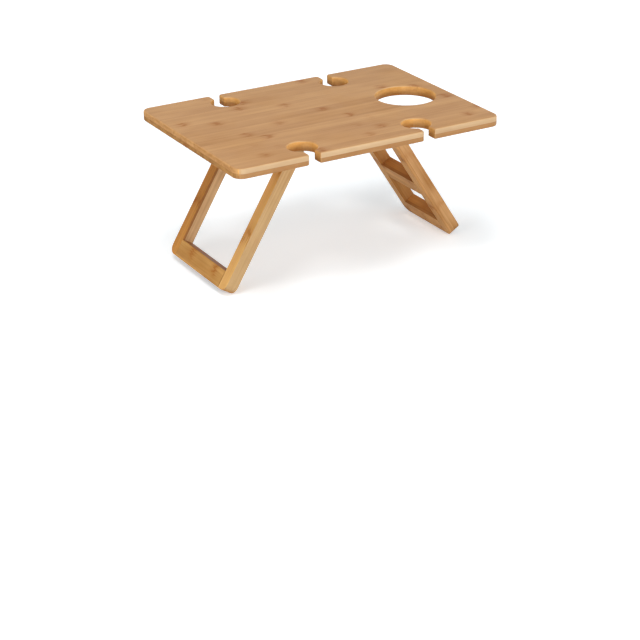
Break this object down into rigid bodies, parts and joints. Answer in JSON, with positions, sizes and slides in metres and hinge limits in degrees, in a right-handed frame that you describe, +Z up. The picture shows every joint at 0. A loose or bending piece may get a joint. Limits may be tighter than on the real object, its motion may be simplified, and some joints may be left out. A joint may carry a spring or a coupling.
{
  "type": "folding picnic wine table",
  "caption": "Low folding bamboo table with a bottle hole, keyhole slots for stemmed glasses along both long edges, and two splayed leg frames that fold flat and nest under the board.",
  "frame": {"origin": "on the ground, under the middle of the board, with the legs open", "axes": "+X along the board towards the bottle hole, +Y to the back long edge, +Z up"},
  "size_m": [0.425, 0.3, 0.2115],
  "materials": {
    "bamboo_board": "satin, light carbonised bamboo strips along the length",
    "bamboo_rail": "satin, bamboo plies along the rail",
    "bamboo_bar": "satin, bamboo plies along the bar",
    "dowel_wood": "unfinished beech",
    "hinge_steel": "plated, brushed",
    "pin_steel": "plain",
    "screw_steel": "plated"
  },
  "bodies": {
    "table_board": {"narrow_leg_back_board_leaf": "hinge_steel", "narrow_leg_back_board_screw_1": "screw_steel", "narrow_leg_back_board_screw_2": "screw_steel", "narrow_leg_back_hinge_pin": "pin_steel", "narrow_leg_front_board_leaf": "hinge_steel", "narrow_leg_front_board_screw_1": "screw_steel", "narrow_leg_front_board_screw_2": "screw_steel", "narrow_leg_front_hinge_pin": "pin_steel", "tabletop": "bamboo_board", "wide_leg_back_board_leaf": "hinge_steel", "wide_leg_back_board_screw_1": "screw_steel", "wide_leg_back_board_screw_2": "screw_steel", "wide_leg_back_hinge_pin": "pin_steel", "wide_leg_front_board_leaf": "hinge_steel", "wide_leg_front_board_screw_1": "screw_steel", "wide_leg_front_board_screw_2": "screw_steel", "wide_leg_front_hinge_pin": "pin_steel"},
    "wide_leg": {"wide_leg_back_leg_leaf": "hinge_steel", "wide_leg_back_leg_screw_1": "screw_steel", "wide_leg_back_leg_screw_2": "screw_steel", "wide_leg_back_rail": "bamboo_rail", "wide_leg_foot_bar": "bamboo_bar", "wide_leg_foot_bar_back_dowel_1": "dowel_wood", "wide_leg_foot_bar_back_dowel_2": "dowel_wood", "wide_leg_foot_bar_front_dowel_1": "dowel_wood", "wide_leg_foot_bar_front_dowel_2": "dowel_wood", "wide_leg_front_leg_leaf": "hinge_steel", "wide_leg_front_leg_screw_1": "screw_steel", "wide_leg_front_leg_screw_2": "screw_steel", "wide_leg_front_rail": "bamboo_rail"},
    "narrow_leg": {"narrow_leg_back_leg_leaf": "hinge_steel", "narrow_leg_back_leg_screw_1": "screw_steel", "narrow_leg_back_leg_screw_2": "screw_steel", "narrow_leg_back_rail": "bamboo_rail", "narrow_leg_foot_bar": "bamboo_bar", "narrow_leg_foot_bar_back_dowel_1": "dowel_wood", "narrow_leg_foot_bar_back_dowel_2": "dowel_wood", "narrow_leg_foot_bar_front_dowel_1": "dowel_wood", "narrow_leg_foot_bar_front_dowel_2": "dowel_wood", "narrow_leg_front_leg_leaf": "hinge_steel", "narrow_leg_front_leg_screw_1": "screw_steel", "narrow_leg_front_leg_screw_2": "screw_steel", "narrow_leg_front_rail": "bamboo_rail", "narrow_leg_middle_bar": "bamboo_bar", "narrow_leg_middle_bar_back_dowel_1": "dowel_wood", "narrow_leg_middle_bar_back_dowel_2": "dowel_wood", "narrow_leg_middle_bar_front_dowel_1": "dowel_wood", "narrow_leg_middle_bar_front_dowel_2": "dowel_wood"}
  },
  "joints": [
    {"name": "wide_leg_fold", "type": "hinge", "parent": "table_board", "child": "wide_leg", "pos_m": [-0.0714, 0, 0.1958], "axis": [0, -1, 0], "range_deg": [0, 94]},
    {"name": "narrow_leg_fold", "type": "hinge", "parent": "table_board", "child": "narrow_leg", "pos_m": [0.0671, 0, 0.1958], "axis": [0, 1, 0], "range_deg": [0, 122.4]}
  ]
}
